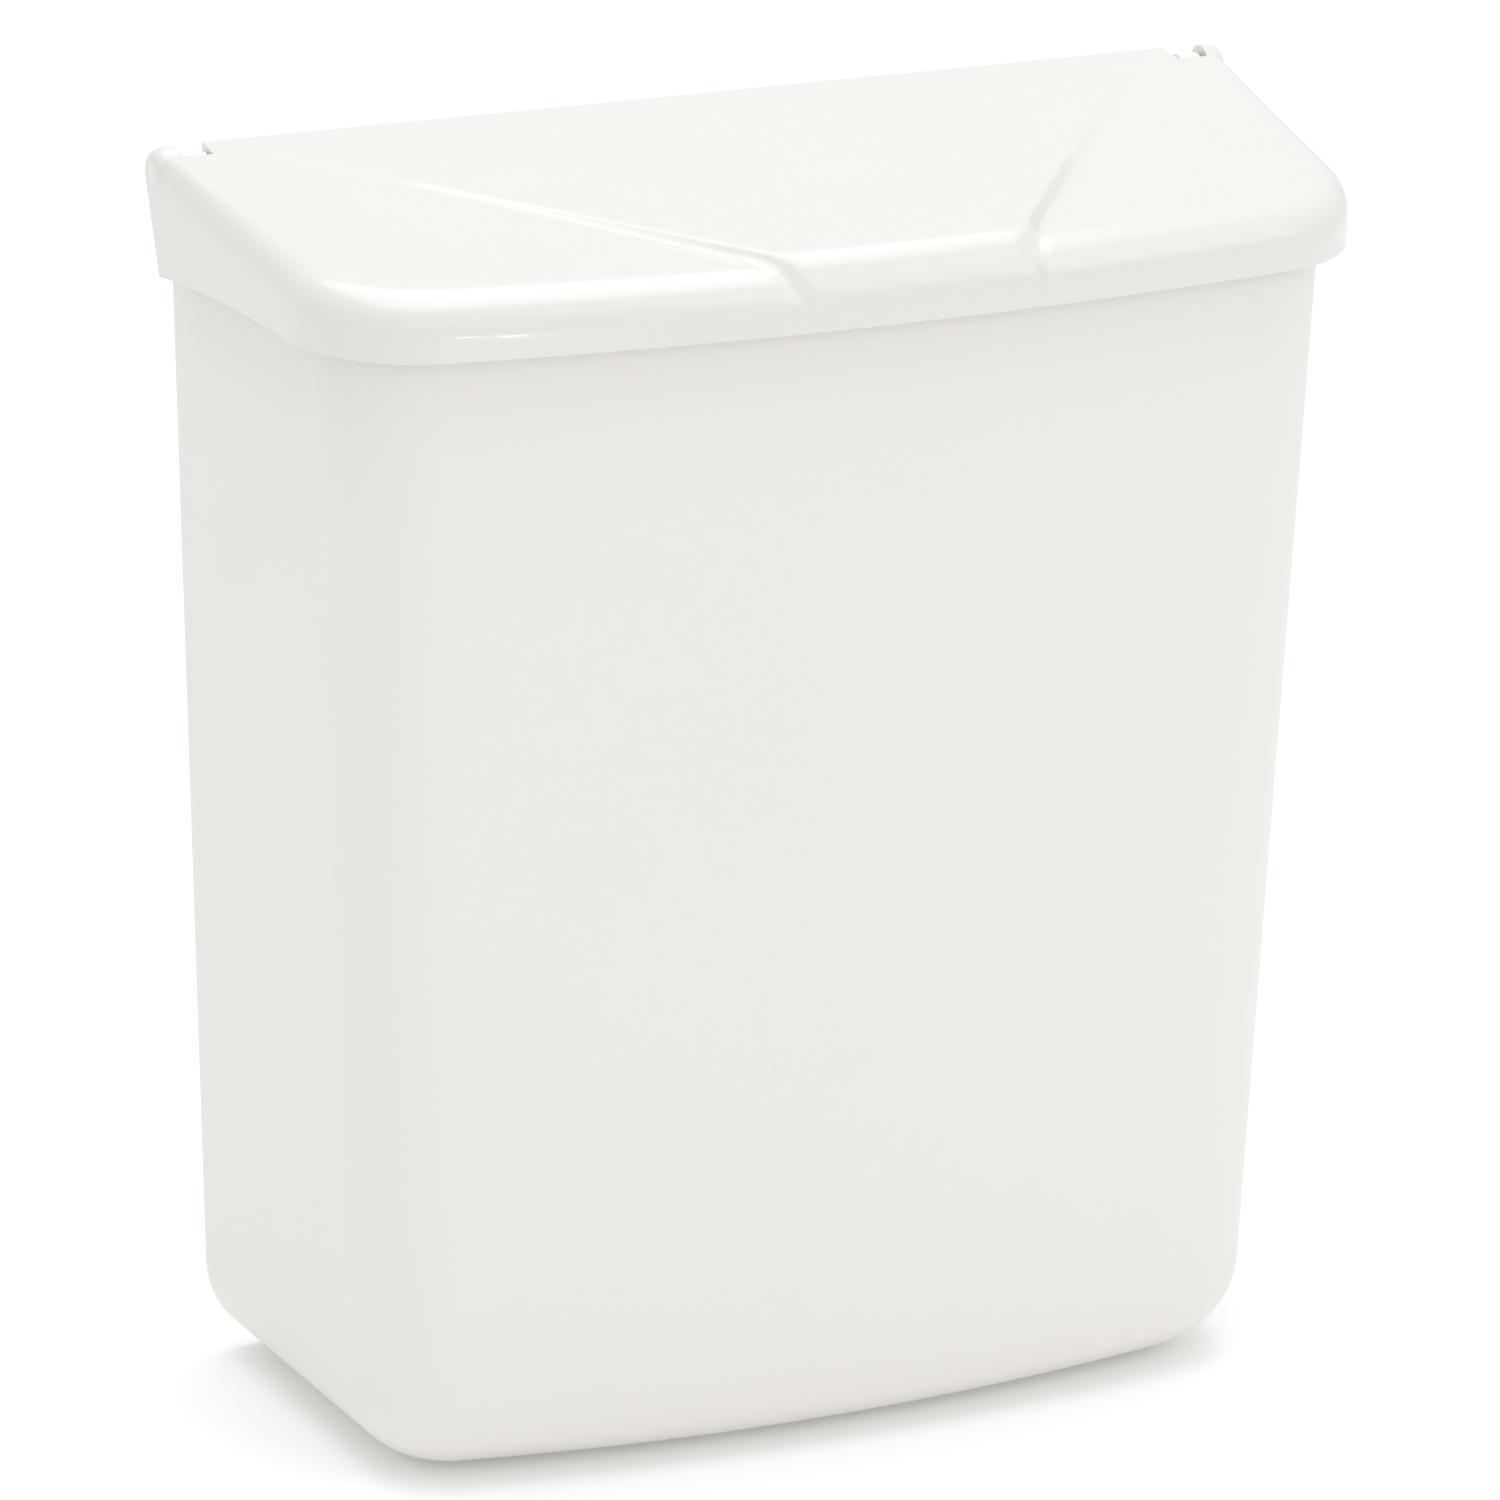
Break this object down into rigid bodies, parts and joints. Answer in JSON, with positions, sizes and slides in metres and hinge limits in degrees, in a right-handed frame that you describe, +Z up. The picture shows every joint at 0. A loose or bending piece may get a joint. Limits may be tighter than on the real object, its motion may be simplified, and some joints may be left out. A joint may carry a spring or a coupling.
{
  "type": "waste bin",
  "caption": "Slim moulded waste bin with a bowed front, a sloping rear-hinged lid, a lift-out rigid liner and wall fixing holes in its flat back.",
  "frame": {"origin": "middle of the footprint, on the surface the bin stands on", "axes": "+Z up, +Y towards the wall behind the flat back, the bowed front faces -Y, +X to the viewer's right when facing the front"},
  "size_m": [0.2298, 0.0964, 0.256],
  "materials": {
    "bin_plastic": "fine satin, warm off-white",
    "lid_plastic": "soft gloss, cool white",
    "pin_plastic": "semi-gloss, natural white",
    "liner_plastic": "satin, light grey"
  },
  "bodies": {
    "bin": {"bin_body": "bin_plastic", "hinge_pin_left": "pin_plastic", "hinge_pin_right": "pin_plastic"},
    "lid": {"lid": "lid_plastic"},
    "liner": {"rigid_liner": "liner_plastic"}
  },
  "joints": [
    {"name": "lid_hinge", "type": "hinge", "parent": "bin", "child": "lid", "pos_m": [0, 0.0424, 0.2516], "axis": [-1, 0, 0], "range_deg": [0, 95]},
    {"name": "liner_lift", "type": "slide", "parent": "bin", "child": "liner", "axis": [0, 0, 1], "range_m": [0, 0.01]}
  ]
}
